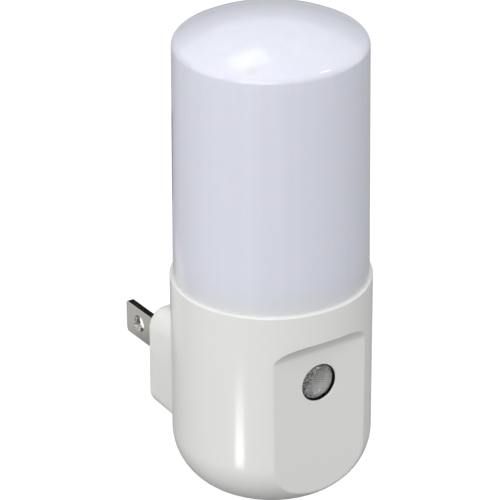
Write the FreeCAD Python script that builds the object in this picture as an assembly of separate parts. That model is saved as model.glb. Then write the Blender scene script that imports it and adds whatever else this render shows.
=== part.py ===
# Plug in night light: domed diffuser on a round base with a flat front panel,
# a light sensor window in the panel and a two blade wall plug at the back.
# Lengths in millimetres, angles in degrees.
# Frame: origin in the middle of the plug's seating face, +Y into the wall, +Z up.
import math
import os

import FreeCAD
import Part

os.makedirs("parts", exist_ok=True)

# general
wall = 1.8
seat_gap = 0.3
slip_gap = 0.1
over = 1.0

# body axis and foot, seen from the seating face
block_reach = 4.15
foot_down = 17.65

# base housing
body_r = 18.25
base_depth = 41.0
base_round = 10.4
round_steps = 4
rim_ledge = 0.62
panel_set_back = 2.95
panel_top = 10.6
scoop_r = 4.8
sensor_down = 15.5
sensor_hole_r = 3.53
collar_wall = 1.3
collar_len = 3.0

# diffuser
diff_wall = 1.5
shoulder_up = 44.95
shoulder_bevel = 0.35
dome_flat_r = 5.5
dome_edge_angle = 35.0
skirt_len = 4.5
skirt_wall = 1.0
skirt_lap = 1.5
lug_out = 0.6
lug_drop = 3.35
lug_height = 1.2
lug_span = 16.0
lug_side = 0.4
lug_count = 4

# plug block
block_half_w = 12.95
block_half_h = 9.75
block_corner_top = 3.9
block_corner_bottom = 2.6
block_draft = 3.0
block_edge = 1.2
edge_steps = 3
corner_steps = 4
neck_half_w = 9.3
neck_half_h = 8.6
neck_end = 11.5
neck_root = 3.0

# blades
blade_w = 6.35
blade_t = 1.5
blade_pitch = 12.7
blade_out = 16.45
blade_hole_r = 1.6
blade_hole_out = 11.7
blade_corner = 0.9
blade_tip_bevel = 0.35
wing_half_h = 4.7
wing_depth = 1.2
tab_half_h = 2.0
tab_len = 5.2
tab_hole_r = 0.7

# blade retainer and its screws
plate_t = 1.8
plate_half_w = 9.1
pad_h = 4.0
pad_half_w = 5.0
plate_screw_up = 6.2
screw_r = 1.2
screw_head_r = 2.3
screw_head_h = 1.5
screw_len = 7.0
bore_sides = 40
round_sides = 28
small_sides = 10
leg_sides = 6

# sensor window, sleeve and photocell
window_recess = 0.5
window_bevel = 0.35
flange_r = 4.6
flange_t = 1.0
sleeve_len = 6.6
cell_r = 2.55
cell_t = 2.0
cell_set_back = 0.3
cell_leg_pitch = 3.4
sleeve_throat_r = 2.15

# boards
board_t = 1.6
board_half_w = 13.0
board_behind = 1.5
board_bottom = -12.0
led_board_edge = 0.85
led_board_t = 1.2
deck_down = 6.35
rail_t = 1.2
rail_in = 1.0
rail_below_deck = 3.0
rail_stop_h = 1.5
boss_r = 2.4
boss_edge = 0.65
boss_h = 4.0
boss_rib = 2.0
boss_count = 3
boss_first_angle = -90.0
board_screw_r = 1.0
board_screw_head_r = 1.9
board_screw_head_h = 1.3
board_screw_len = 4.6

# leds on the round board
led_l = 3.5
led_w = 2.8
led_h = 0.8
led_circle = 7.0
led_count = 4
led_first_angle = 45.0
led_window_r = 1.1
led_window_depth = 0.15

# parts on the upright board: x, z of the middle and sizes
leg_r = 0.3
leg_out = 0.8
part_gap = 0.4
film_up = 3.8
film_l, film_h, film_d = 12.0, 6.5, 7.0
film_pitch = 9.0
film_bevel = 0.6
can_up = 5.2
can_r, can_len = 4.0, 9.0
can_pitch = 3.5
can_bevel = 0.5
bridge_up = 12.6
bridge_l, bridge_h, bridge_d = 6.4, 4.4, 2.6
bridge_pitch = 4.6
bridge_row = 3.0
bridge_bevel = 0.35
axial_r, axial_len, axial_pitch = 1.05, 4.4, 6.0
resistor_down = 3.2
resistor_step = 2.6
resistor_count = 3
fuse_down = 3.4
fuse_r, fuse_len, fuse_pitch = 1.4, 4.4, 6.0
zener_down = 7.0
zener_r, zener_len, zener_pitch = 0.95, 3.4, 5.6
trans_up = 13.6
trans_r, trans_len, trans_flat, trans_pitch = 2.3, 4.6, 1.3, 1.27
link_half_w, link_down, link_h, link_d = 3.6, 3.6, 2.5, 2.5
pin_w, pin_pitch, pin_count, pin_up = 0.64, 2.54, 3, 1.2

# lead wires from the blade tabs to the upright board
wire_r = 0.65
wire_clear = 0.5
wire_run = 2.2
wire_end_x = 4.0
wire_end_z = -5.6

axis_back = body_r + block_reach
axis_y = -axis_back
rim_up = base_depth - foot_down
bore_r = body_r - wall
diff_r = body_r - rim_ledge
skirt_r = bore_r - seat_gap
panel_front = body_r - panel_set_back
sensor_z = rim_up - sensor_down
panel_y = axis_y - panel_front
panel_inner_y = panel_y + wall
window_r = sensor_hole_r - seat_gap
blade_x = blade_pitch / 2
plate_half_h = neck_half_h + pad_h

# boards and what stands on them
board_back = axis_back - board_behind
board_front = -board_back - board_t
led_board_z = rim_up - deck_down
led_board_r = bore_r - led_board_edge
boss_circle = skirt_r - skirt_wall - boss_edge - board_screw_head_r
boss_bottom = led_board_z - boss_h
rail_top = led_board_z - rail_below_deck
rail_edge = board_half_w - rail_in - part_gap
film_x, film_z = film_l / 2 - rail_edge, board_bottom + film_up
can_x, can_z = rail_edge - can_r, board_bottom + can_up
bridge_x, bridge_z = bridge_l / 2 - rail_edge, board_bottom + bridge_up
resistor_x = axial_pitch / 2 + leg_r - rail_edge
fuse_x, fuse_z = rail_edge - leg_r - fuse_pitch / 2, led_board_z - fuse_down
zener_x, zener_z = rail_edge - leg_r - fuse_pitch / 2, led_board_z - zener_down
trans_x, trans_z = rail_edge - trans_r, board_bottom + trans_up
link_z = led_board_z - link_down

Z_AXIS = FreeCAD.Vector(0, 0, 1)
Y_AXIS = FreeCAD.Vector(0, 1, 0)
X_AXIS = FreeCAD.Vector(1, 0, 0)
ZERO = FreeCAD.Vector(0, 0, 0)


def vec(x, y, z):
    return FreeCAD.Vector(x, y, z)


def box(x0, x1, y0, y1, z0, z1):
    return Part.makeBox(x1 - x0, y1 - y0, z1 - z0, vec(x0, y0, z0))


def rod(start, way, radius, length):
    return Part.makeCylinder(radius, length, start, way)


def prism(start, way, radius, length, sides):
    flat = way.cross(Z_AXIS) if abs(way.z) < 1 else X_AXIS
    other = way.cross(flat)
    spots = []
    for i in range(sides):
        turn = 2 * math.pi * (i + 0.5) / sides
        spots.append(start + flat * (radius * math.cos(turn)) + other * (radius * math.sin(turn)))
    return polygon(spots).extrude(way * length)


def small_rod(start, way, radius, length):
    return prism(start, way, radius, length, small_sides)


def round_rod(start, way, radius, length):
    return prism(start, way, radius, length, round_sides)


def leg_rod(start, way, radius, length):
    return prism(start, way, radius, length, leg_sides)


def fuse(shapes):
    joined = shapes[0]
    if len(shapes) > 1:
        joined = shapes[0].multiFuse(shapes[1:])
    return joined.removeSplitter()


def line(a, b):
    return Part.makeLine(a, b)


def arc(centre, radius, start_deg, end_deg, point):
    middle_deg = (start_deg + end_deg) / 2
    spots = []
    for deg in (start_deg, middle_deg, end_deg):
        turn = math.radians(deg)
        u = centre[0] + radius * math.cos(turn)
        v = centre[1] + radius * math.sin(turn)
        spots.append(point(u, v))
    return Part.Arc(*spots).toShape()


def rz(r, z):
    return vec(r, 0, z)


def bend(centre, radius, start_deg, end_deg, steps):
    spots = []
    for i in range(steps + 1):
        turn = math.radians(start_deg + (end_deg - start_deg) * i / steps)
        u = centre[0] + radius * math.cos(turn)
        v = centre[1] + radius * math.sin(turn)
        spots.append(rz(u, v))
    return [line(a, b) for a, b in zip(spots, spots[1:])]


def spin(edges):
    face = Part.Face(Part.Wire(edges))
    return face.revolve(ZERO, Z_AXIS, 360)


def polygon(points):
    return Part.Face(Part.makePolygon(points + [points[0]]))


def to_body(shape):
    shape.translate(vec(0, axis_y, rim_up))
    return shape


def rounded_outline(half_w, bottom, top, r_bottom, r_top, y):
    corners = [
        (half_w - r_bottom, bottom + r_bottom, r_bottom, -90),
        (half_w - r_top, top - r_top, r_top, 0),
        (r_top - half_w, top - r_top, r_top, 90),
        (r_bottom - half_w, bottom + r_bottom, r_bottom, 180),
    ]
    spots = []
    for x, z, r, first in corners:
        for i in range(corner_steps + 1):
            turn = math.radians(first + 90.0 * i / corner_steps)
            spots.append(vec(x + r * math.cos(turn), y, z + r * math.sin(turn)))
    return spots


def skin(outlines):
    faces = [polygon(outlines[0]), polygon(outlines[-1])]
    for near, far in zip(outlines, outlines[1:]):
        for i in range(len(near)):
            faces.append(polygon([near[i - 1], near[i], far[i], far[i - 1]]))
    return Part.Solid(Part.Shell(faces))


def ring(radius, z, sides):
    spots = []
    for i in range(sides):
        turn = 2 * math.pi * (i + 0.5) / sides
        spots.append(vec(radius * math.cos(turn), radius * math.sin(turn), z))
    return spots


def many_sided(profile):
    return skin([ring(r, z, bore_sides) for r, z in profile])


def around(count, first_deg, radius):
    spots = []
    for i in range(count):
        deg = first_deg + i * 360.0 / count
        turn = math.radians(deg)
        spots.append((radius * math.cos(turn), radius * math.sin(turn), deg))
    return spots


# Base housing: cup with a rounded foot, flat front panel and scooped ledge
def base_outer():
    foot = body_r - base_round
    top = body_r - rim_ledge
    edges = [line(rz(0, -base_depth), rz(foot, -base_depth))]
    edges += bend((foot, base_round - base_depth), base_round, -90, 0, round_steps)
    edges.append(line(rz(body_r, base_round - base_depth), rz(body_r, -rim_ledge)))
    edges.append(line(rz(body_r, -rim_ledge), rz(top, 0)))
    edges += [line(rz(top, 0), rz(0, 0)), line(rz(0, 0), rz(0, -base_depth))]
    return spin(edges)


def base_cavity():
    floor = wall - base_depth
    inner_round = base_round - wall
    foot = bore_r - inner_round
    steps = round_steps // 2
    profile = []
    for i in range(steps + 1):
        turn = math.radians(90.0 * i / steps)
        r = foot + inner_round * math.sin(turn)
        profile.append((r, floor + inner_round * (1 - math.cos(turn))))
    profile.append((bore_r, over))
    hollow = many_sided(profile)
    flat = box(-body_r, body_r, -body_r, wall - panel_front, -base_depth, -deck_down)
    return hollow.cut(flat)


def panel_cutter():
    def yz(u, v):
        return vec(-body_r - over, u, v)

    out = -panel_front - scoop_r
    edges = [
        line(yz(-panel_front, -base_depth - over), yz(-panel_front, -panel_top)),
        arc((out, -panel_top), scoop_r, 0, 90, yz),
        line(yz(out, scoop_r - panel_top), yz(out - over, scoop_r - panel_top)),
        line(yz(out - over, scoop_r - panel_top), yz(out - over, -base_depth - over)),
        line(yz(out - over, -base_depth - over), yz(-panel_front, -base_depth - over)),
    ]
    face = Part.Face(Part.Wire(edges))
    return face.extrude(vec(2 * (body_r + over), 0, 0))


def lug_pockets():
    low = -lug_drop - lug_height / 2 - seat_gap
    high = -lug_drop + lug_height / 2 + seat_gap
    out = skirt_r + lug_out + seat_gap
    half = out * math.sin(math.radians(lug_span / 2)) + lug_side
    pockets = []
    for x, y, deg in around(lug_count, 45.0, 1.0):
        pocket = box(bore_r - over, out, -half, half, low, high)
        pocket.rotate(ZERO, Z_AXIS, deg)
        pockets.append(pocket)
    return pockets


def board_rails():
    ribs = []
    back = -board_back - axis_y
    front = board_front - axis_y
    low = board_bottom - rim_up
    high = rail_top - rim_up
    for side in (-1, 1):
        inner = board_half_w - rail_in
        x0, x1 = sorted((side * inner, side * body_r))
        ribs.append(box(x0, x1, back + slip_gap, back + slip_gap + rail_t, low, high))
        ribs.append(box(x0, x1, front - slip_gap - rail_t, front - slip_gap, low, high))
        y0, y1 = front - slip_gap - rail_t, back + slip_gap + rail_t
        ribs.append(box(x0, x1, y0, y1, low - rail_stop_h, low))
    return ribs


def board_bosses():
    posts = []
    low = boss_bottom - rim_up
    high = led_board_z - rim_up
    for x, y, deg in around(boss_count, boss_first_angle, boss_circle):
        post = small_rod(vec(x, y, low), Z_AXIS, boss_r, high - low)
        rib = box(boss_circle, body_r, -boss_rib / 2, boss_rib / 2, low, high)
        rib.rotate(ZERO, Z_AXIS, deg)
        posts += [post, rib]
    return posts


def plate_pads():
    inner = -neck_end - axis_y
    pads = []
    for side in (-1, 1):
        near = side * (neck_half_h + seat_gap)
        far = side * plate_half_h
        z0, z1 = sorted((near - rim_up, far - rim_up))
        pads.append(box(-pad_half_w, pad_half_w, inner, body_r, z0, z1))
    return pads


def sensor_collar():
    start = vec(0, panel_inner_y - axis_y - wall / 2, -sensor_down)
    ring_r = flange_r + seat_gap
    length = collar_len + wall / 2
    ring = round_rod(start, Y_AXIS, ring_r + collar_wall, length)
    hole = round_rod(vec(0, panel_inner_y - axis_y, -sensor_down), Y_AXIS, ring_r, length)
    return ring, hole


def base_housing():
    outer = base_outer()
    shell = outer.cut(base_cavity())
    ring, ring_hole = sensor_collar()
    ribs = board_rails() + board_bosses() + plate_pads() + [ring]
    inside = [rib.common(outer) for rib in ribs]
    shape = fuse([shell] + inside)
    holes = [panel_cutter(), ring_hole] + lug_pockets()
    far = vec(0, -body_r - over, -sensor_down)
    holes.append(round_rod(far, Y_AXIS, sensor_hole_r, wall + body_r - panel_front + over))
    port_w, port_h = neck_half_w + seat_gap, neck_half_h + seat_gap
    port = box(-port_w, port_w, over, body_r + over, -port_h - rim_up, port_h - rim_up)
    holes.append(port)
    for x, y, deg in around(boss_count, boss_first_angle, boss_circle):
        top = led_board_z - rim_up
        depth = board_screw_len - led_board_t + seat_gap
        hole_r = board_screw_r + seat_gap
        holes.append(small_rod(vec(x, y, top - depth), Z_AXIS, hole_r, depth + over))
    for hole in holes:
        shape = shape.cut(hole)
    return to_body(shape.removeSplitter())


# Diffuser: tube with a shallow dome, skirt and snap lugs
def diffuser():
    edge = math.radians(dome_edge_angle)
    dome_r = diff_r / math.sin(edge)
    dome_z = shoulder_up - dome_r * math.cos(edge)
    inner_dome_r = dome_r - diff_wall
    inner_r = diff_r - diff_wall
    inner_edge = math.asin(inner_r / inner_dome_r)
    inner_z = dome_z + inner_dome_r * math.cos(inner_edge)
    outer_start = 90 - dome_edge_angle
    flat_z = dome_z + math.sqrt(inner_dome_r**2 - dome_flat_r**2)
    bevel = math.degrees(shoulder_bevel / dome_r)
    cut_r = dome_r * math.cos(math.radians(outer_start + bevel))
    cut_z = dome_z + dome_r * math.sin(math.radians(outer_start + bevel))
    bevel_z = shoulder_up - shoulder_bevel
    edges = [
        line(rz(0, 0), rz(diff_r, 0)),
        line(rz(diff_r, 0), rz(diff_r, bevel_z)),
        line(rz(diff_r, bevel_z), rz(cut_r, cut_z)),
        arc((0, dome_z), dome_r, outer_start + bevel, 90, rz),
        line(rz(0, dome_z + dome_r), rz(0, 0)),
    ]
    solid = fuse([spin(edges), rod(rz(0, -skirt_len), Z_AXIS, skirt_r, skirt_len)])
    lead = skirt_wall / 2
    hollow = [
        (skirt_r - skirt_wall, -skirt_len - over),
        (skirt_r - skirt_wall, skirt_lap),
        (inner_r, skirt_lap),
        (inner_r, inner_z),
        (dome_flat_r, flat_z),
    ]
    parts = [solid.cut(many_sided(hollow))]
    mid = -lug_drop
    half = lug_height / 2
    nose = [
        rz(skirt_r - lead, mid - half),
        rz(skirt_r, mid - half),
        rz(skirt_r + lug_out, mid),
        rz(skirt_r + lug_out, mid + half),
        rz(skirt_r - lead, mid + half),
    ]
    for x, y, deg in around(lug_count, 45.0, 1.0):
        lug = polygon(nose).revolve(ZERO, Z_AXIS, lug_span)
        lug.rotate(ZERO, Z_AXIS, deg - lug_span / 2)
        parts.append(lug)
    return to_body(fuse(parts))


# Plug block: drafted block hugging the base, with a neck through its wall
def blade_slot(side):
    x0 = side * blade_x - blade_t / 2 - slip_gap
    x1 = side * blade_x + blade_t / 2 + slip_gap
    half = blade_w / 2 + slip_gap
    slot = box(x0, x1, -axis_back, over, -half, half)
    wing = wing_half_h + slip_gap
    pocket = box(x0, x1, -neck_end - over, -neck_end + wing_depth, -wing, wing)
    return slot.fuse(pocket)


def plug_block():
    grow = math.tan(math.radians(block_draft))
    rows = []
    for i in range(edge_steps + 1):
        turn = math.radians(90.0 * i / edge_steps)
        rows.append((block_edge * (math.cos(turn) - 1), block_edge * (1 - math.sin(turn))))
    rows.append((-axis_back, 0))
    outlines = []
    for y, inset in rows:
        height = block_half_h - inset - y * grow
        outline = rounded_outline(
            block_half_w - inset,
            -height,
            height,
            block_corner_bottom - inset,
            block_corner_top - inset,
            y,
        )
        outlines.append(outline)
    solid = skin(outlines)
    low = -block_half_h - axis_back
    tall = 2 * (block_half_h + axis_back)
    saddle = rod(vec(0, axis_y, low), Z_AXIS, body_r + seat_gap, tall)
    solid = solid.cut(saddle)
    neck = box(-neck_half_w, neck_half_w, -neck_end, -neck_root, -neck_half_h, neck_half_h)
    solid = fuse([solid, neck])
    for side in (-1, 1):
        solid = solid.cut(blade_slot(side))
        start = vec(0, -neck_end - over, side * plate_screw_up)
        depth = over + screw_len - plate_t + seat_gap
        solid = solid.cut(small_rod(start, Y_AXIS, screw_r + seat_gap, depth))
    return solid


def blade(side):
    tip = blade_out
    half = blade_w / 2
    back = -neck_end
    wing_front = back + wing_depth
    tab = back - tab_len
    c = blade_corner
    x0 = side * blade_x - blade_t / 2
    outline = [
        (tip, half - c),
        (tip - c, half),
        (wing_front, half),
        (wing_front, wing_half_h),
        (back, wing_half_h),
        (back, tab_half_h),
        (tab + c, tab_half_h),
        (tab, tab_half_h - c),
    ]
    lower = [(y, -z) for y, z in reversed(outline)]
    points = [vec(x0, y, z) for y, z in outline + lower]
    solid = polygon(points).extrude(vec(blade_t, 0, 0))
    tip_edges = []
    for e in solid.Edges:
        at_tip = e.BoundBox.YMin > tip - slip_gap
        if at_tip and e.BoundBox.XMax - e.BoundBox.XMin < slip_gap:
            tip_edges.append(e)
    solid = solid.makeChamfer(blade_tip_bevel, tip_edges)
    through = vec(x0 - over, blade_hole_out, 0)
    solid = solid.cut(rod(through, X_AXIS, blade_hole_r, blade_t + 2 * over))
    eye = vec(x0 - over, tab + tab_half_h, 0)
    return solid.cut(leg_rod(eye, X_AXIS, tab_hole_r, blade_t + 2 * over))


# Blade retainer: flat plate that clamps the block to the base
def blade_retainer():
    back = -neck_end - plate_t
    plate = box(-plate_half_w, plate_half_w, back, -neck_end, -plate_half_h, plate_half_h)
    gap = slip_gap
    for side in (-1, 1):
        x0 = side * blade_x - blade_t / 2 - gap
        x1 = side * blade_x + blade_t / 2 + gap
        half = tab_half_h + gap
        plate = plate.cut(box(x0, x1, back - over, -neck_end + over, -half, half))
        start = vec(0, back - over, side * plate_screw_up)
        plate = plate.cut(small_rod(start, Y_AXIS, screw_r + seat_gap, plate_t + 2 * over))
    return plate


def screw(radius, head_r, head_h, length):
    shaft = small_rod(vec(0, 0, -length), Z_AXIS, radius, length + head_h / 2)
    head = small_rod(ZERO, Z_AXIS, head_r, head_h)
    top_edges = [e for e in head.Edges if e.BoundBox.ZMin > head_h - slip_gap]
    return fuse([shaft, head.makeChamfer(head_h / 3, top_edges)])


def retainer_screws():
    made = []
    for side in (-1, 1):
        one = screw(screw_r, screw_head_r, screw_head_h, screw_len)
        one.rotate(ZERO, X_AXIS, 90)
        one.translate(vec(0, -neck_end - plate_t, side * plate_screw_up))
        made.append(one)
    return Part.makeCompound(made)


def led_board_screws():
    made = []
    for x, y, deg in around(boss_count, boss_first_angle, boss_circle):
        one = screw(board_screw_r, board_screw_head_r, board_screw_head_h, board_screw_len)
        one.translate(vec(x, axis_y + y, led_board_z + led_board_t))
        made.append(one)
    return Part.makeCompound(made)


# Light sensor: window, sleeve, photocell and its legs
def aim_front(shape, y):
    shape.rotate(ZERO, X_AXIS, 90)
    shape.translate(vec(0, y, sensor_z))
    return shape


def sensor_window():
    front = wall - window_recess
    lens = round_rod(ZERO, Z_AXIS, window_r, front)
    lens_edges = [e for e in lens.Edges if e.BoundBox.ZMin > front - slip_gap]
    lens = lens.makeChamfer(window_bevel, lens_edges)
    flange = round_rod(vec(0, 0, -flange_t), Z_AXIS, flange_r, flange_t)
    return aim_front(fuse([lens, flange]), panel_inner_y)


def sensor_sleeve():
    front = panel_inner_y + flange_t
    start = vec(0, front, sensor_z)
    tube = round_rod(start, Y_AXIS, flange_r, sleeve_len)
    pocket = round_rod(start, Y_AXIS, cell_r + seat_gap, cell_set_back + cell_t)
    throat = round_rod(start, Y_AXIS, sleeve_throat_r, sleeve_len)
    return tube.cut(pocket).cut(throat)


def photocell():
    front = panel_inner_y + flange_t + cell_set_back
    return round_rod(vec(0, front, sensor_z), Y_AXIS, cell_r, cell_t)


def photocell_legs():
    start = panel_inner_y + flange_t + cell_set_back + cell_t
    end = -board_back + leg_out
    legs = []
    for side in (-1, 1):
        x = side * cell_leg_pitch / 2
        legs.append(leg_rod(vec(x, start, sensor_z), Y_AXIS, leg_r, end - start))
    return Part.makeCompound(legs)


# Parts on the upright board
def legs_at(spots, start):
    end = -board_back + leg_out
    return [leg_rod(vec(x, start, z), Y_AXIS, leg_r, end - start) for x, z in spots]


def film_spots():
    return [(film_x + side * film_pitch / 2, film_z) for side in (-1, 1)]


def film_capacitor():
    x0, x1 = film_x - film_l / 2, film_x + film_l / 2
    z0, z1 = film_z - film_h / 2, film_z + film_h / 2
    case = box(x0, x1, board_front - film_d, board_front, z0, z1)
    soft = [e for e in case.Edges if e.BoundBox.YMax < board_front - film_d + slip_gap]
    case = case.makeChamfer(film_bevel, soft)
    return fuse([case] + legs_at(film_spots(), board_front - over))


def can_spots():
    return [(can_x + side * can_pitch / 2, can_z) for side in (-1, 1)]


def electrolytic_capacitor():
    start = vec(can_x, board_front - seat_gap - can_len, can_z)
    can = round_rod(start, Y_AXIS, can_r, can_len)
    top_edges = [e for e in can.Edges if e.BoundBox.YMax < start.y + slip_gap]
    can = can.makeChamfer(can_bevel, top_edges)
    return fuse([can] + legs_at(can_spots(), board_front - over))


def bridge_spots():
    spots = []
    for sx in (-1, 1):
        for sz in (-1, 1):
            spots.append((bridge_x + sx * bridge_pitch / 2, bridge_z + sz * bridge_row / 2))
    return spots


def bridge_rectifier():
    x0, x1 = bridge_x - bridge_l / 2, bridge_x + bridge_l / 2
    z0, z1 = bridge_z - bridge_h / 2, bridge_z + bridge_h / 2
    case = box(x0, x1, board_front - bridge_d, board_front, z0, z1)
    soft = [e for e in case.Edges if e.BoundBox.YMax < board_front - bridge_d + slip_gap]
    case = case.makeChamfer(bridge_bevel, soft)
    return fuse([case] + legs_at(bridge_spots(), board_front - over))


def axial_spots(x, z, pitch):
    return [(x - pitch / 2, z), (x + pitch / 2, z)]


def axial(x, z, radius, length, pitch):
    y = board_front - seat_gap - radius
    body = small_rod(vec(x - length / 2, y, z), X_AXIS, radius, length)
    half = pitch / 2 + leg_r
    lead = leg_rod(vec(x - half, y, z), X_AXIS, leg_r, 2 * half)
    return fuse([body, lead] + legs_at(axial_spots(x, z, pitch), y))


def resistor_spots():
    top = led_board_z - resistor_down
    return [(resistor_x, top - i * resistor_step) for i in range(resistor_count)]


def resistors():
    made = []
    for x, z in resistor_spots():
        made.append(axial(x, z, axial_r, axial_len, axial_pitch))
    return Part.makeCompound(made)


def fusible_resistor():
    return axial(fuse_x, fuse_z, fuse_r, fuse_len, fuse_pitch)


def zener_diode():
    return axial(zener_x, zener_z, zener_r, zener_len, zener_pitch)


def trans_spots():
    return [(trans_x, trans_z + i * 2 * trans_pitch) for i in (-1, 0, 1)]


def transistor():
    start = vec(trans_x, board_front - seat_gap - trans_len, trans_z)
    body = small_rod(start, Y_AXIS, trans_r, trans_len)
    x0 = trans_x + trans_flat
    cut = box(x0, x0 + trans_r, start.y - over, board_front, trans_z - trans_r, trans_z + trans_r)
    body = body.cut(cut)
    spots = [(x, trans_z + (z - trans_z) / 2) for x, z in trans_spots()]
    return fuse([body] + legs_at(spots, board_front - over))


def link_pins(grow=0.0):
    half = pin_w / 2 + grow
    back = -board_back + leg_out
    y = board_front - link_d / 2
    top = led_board_z + led_board_t + pin_up
    made = []
    for i in range(pin_count):
        x = (i - (pin_count - 1) / 2) * pin_pitch
        flat = box(x - half, x + half, y - half, back, link_z - half, link_z + half)
        rise = box(x - half, x + half, y - half, y + half, link_z - half, top)
        made.append(fuse([flat, rise]))
    return Part.makeCompound(made)


def board_link():
    z0, z1 = link_z - link_h / 2, link_z + link_h / 2
    case = box(-link_half_w, link_half_w, board_front - link_d, board_front, z0, z1)
    return case.cut(link_pins())


def main_board():
    tab = led_board_z
    plate = box(
        -board_half_w, board_half_w, board_front, -board_back, board_bottom, rail_top
    )
    tongue_w = board_half_w - boss_r
    tongue = box(-tongue_w, tongue_w, board_front, -board_back, rail_top, tab)
    plate = fuse([plate, tongue])
    spots = film_spots() + can_spots() + bridge_spots()
    spots += [(x, trans_z + (z - trans_z) / 2) for x, z in trans_spots()]
    for x, z in resistor_spots():
        spots += axial_spots(x, z, axial_pitch)
    spots += axial_spots(fuse_x, fuse_z, fuse_pitch)
    spots += axial_spots(zener_x, zener_z, zener_pitch)
    spots += [(side * cell_leg_pitch / 2, sensor_z) for side in (-1, 1)]
    for x, z in spots:
        start = vec(x, board_front - over, z)
        plate = plate.cut(leg_rod(start, Y_AXIS, leg_r + seat_gap / 2, board_t + 2 * over))
    return plate.cut(link_pins(slip_gap))


def led_board():
    start = vec(0, axis_y, led_board_z)
    disc = round_rod(start, Z_AXIS, led_board_r, led_board_t)
    for x, y, deg in around(boss_count, boss_first_angle, boss_circle):
        low = vec(x, axis_y + y, led_board_z - over)
        disc = disc.cut(small_rod(low, Z_AXIS, board_screw_r + seat_gap, led_board_t + 2 * over))
    return disc.cut(link_pins(slip_gap))


def leds():
    made = []
    z = led_board_z + led_board_t
    for x, y, deg in around(led_count, led_first_angle, led_circle):
        case = box(-led_l / 2, led_l / 2, -led_w / 2, led_w / 2, 0, led_h)
        dish = small_rod(vec(0, 0, led_h - led_window_depth), Z_AXIS, led_window_r, over)
        case = case.cut(dish)
        case.rotate(ZERO, Z_AXIS, deg)
        case.translate(vec(x, axis_y + y, z))
        made.append(case)
    return Part.makeCompound(made)


# Lead wires: run along a blade tab, then over to the upright board
def lead_wire(side):
    x = side * (blade_x - blade_t / 2 - wire_r - slip_gap / 2)
    start = -neck_end - plate_t - wire_clear
    low = -wire_end_z
    end_x = side * wire_end_x
    points = [
        vec(x, start, 0),
        vec(x, start - wire_run, 0),
        vec(end_x, 2 * wire_r - board_back, -low),
        vec(end_x, -board_back, -low),
    ]
    outline = prism(points[0], -Y_AXIS, wire_r, over, leg_sides).Faces
    ring = [f for f in outline if f.BoundBox.YMin > start - slip_gap][0].OuterWire
    return Part.makePolygon(points).makePipeShell([ring], True, False, 1)


PIECES = {
    "base_housing": base_housing,
    "diffuser": diffuser,
    "plug_block": plug_block,
    "blade_left": lambda: blade(-1),
    "blade_right": lambda: blade(1),
    "blade_retainer": blade_retainer,
    "retainer_screws": retainer_screws,
    "sensor_window": sensor_window,
    "sensor_sleeve": sensor_sleeve,
    "photocell": photocell,
    "photocell_legs": photocell_legs,
    "main_board": main_board,
    "led_board": led_board,
    "led_board_screws": led_board_screws,
    "leds": leds,
    "film_capacitor": film_capacitor,
    "electrolytic_capacitor": electrolytic_capacitor,
    "bridge_rectifier": bridge_rectifier,
    "resistors": resistors,
    "fusible_resistor": fusible_resistor,
    "zener_diode": zener_diode,
    "transistor": transistor,
    "board_link": board_link,
    "link_pins": link_pins,
    "lead_wire_left": lambda: lead_wire(-1),
    "lead_wire_right": lambda: lead_wire(1),
}

for name, make in PIECES.items():
    make().exportStep("parts/" + name + ".step")
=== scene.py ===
import math

import bpy
from mathutils import Matrix, Vector


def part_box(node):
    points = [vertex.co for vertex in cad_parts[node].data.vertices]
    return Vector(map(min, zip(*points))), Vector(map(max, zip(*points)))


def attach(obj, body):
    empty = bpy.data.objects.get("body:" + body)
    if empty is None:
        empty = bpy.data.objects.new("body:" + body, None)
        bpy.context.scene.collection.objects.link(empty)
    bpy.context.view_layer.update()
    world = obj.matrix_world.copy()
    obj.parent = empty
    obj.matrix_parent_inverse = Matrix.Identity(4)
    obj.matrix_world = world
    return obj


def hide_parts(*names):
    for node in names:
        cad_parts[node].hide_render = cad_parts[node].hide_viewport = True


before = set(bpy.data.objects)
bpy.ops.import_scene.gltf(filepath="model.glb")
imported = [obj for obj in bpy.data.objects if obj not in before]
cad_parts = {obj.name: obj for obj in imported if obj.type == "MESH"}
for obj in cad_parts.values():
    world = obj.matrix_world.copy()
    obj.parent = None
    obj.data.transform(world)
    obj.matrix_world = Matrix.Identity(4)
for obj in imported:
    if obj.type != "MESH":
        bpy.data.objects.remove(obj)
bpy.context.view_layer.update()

# Everything below is in millimetres until a mesh or a lamp is made
MM = 0.001


def node_box(name):
    low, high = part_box(name)
    return Vector(low) / MM, Vector(high) / MM


base_low, base_high = node_box("base_housing")
window_low, window_high = node_box("sensor_window")
blade_low, blade_high = node_box("blade_right")

axis_y = (base_low.y + base_high.y) / 2
rim_z = base_high.z
foot_z = base_low.z
body_r = base_high.x

# base housing: driving sizes
wall = 1.8
rim_lip = 0.42
rim_rise = 0.45
foot_round = 10.43
base_draft = math.tan(math.radians(0.26))
panel_set_back = 2.95
panel_down = 9.1 + rim_rise
scoop_r = 4.8
scoop_start = math.radians(15.0)
crease_blend = 0.16
hole_lip = 0.16
hole_r = 3.6
cut_over = 0.6
bore_edge = 0.15
inner_flat_down = 6.3
inner_flat_step = 0.1
floor_dot_r = 0.4

# base housing: worked out
sensor_z = (window_low.z + window_high.z) / 2
rim_top = rim_z + rim_rise
base_depth = rim_top - foot_z
bore_r = body_r - wall
panel_front = body_r - panel_set_back
panel_face_y = axis_y - panel_front
panel_half_turn = math.acos(panel_front / body_r)
scoop_lead = scoop_r * math.sin(scoop_start)
scoop_sunk = scoop_r * (1 - math.cos(scoop_start))
straight_len = base_depth - foot_round - rim_lip
skin_len = straight_len + foot_round * math.pi / 2

# base housing: how closely its rows and columns of points lie
middle_down = 13.4
ledge_rows, panel_rows, foot_rows = 18, 26, 22
edge_step = math.radians(0.12)
front_step = math.radians(1.2)
side_step = math.radians(2.0)
step_growth = 1.12

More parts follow.
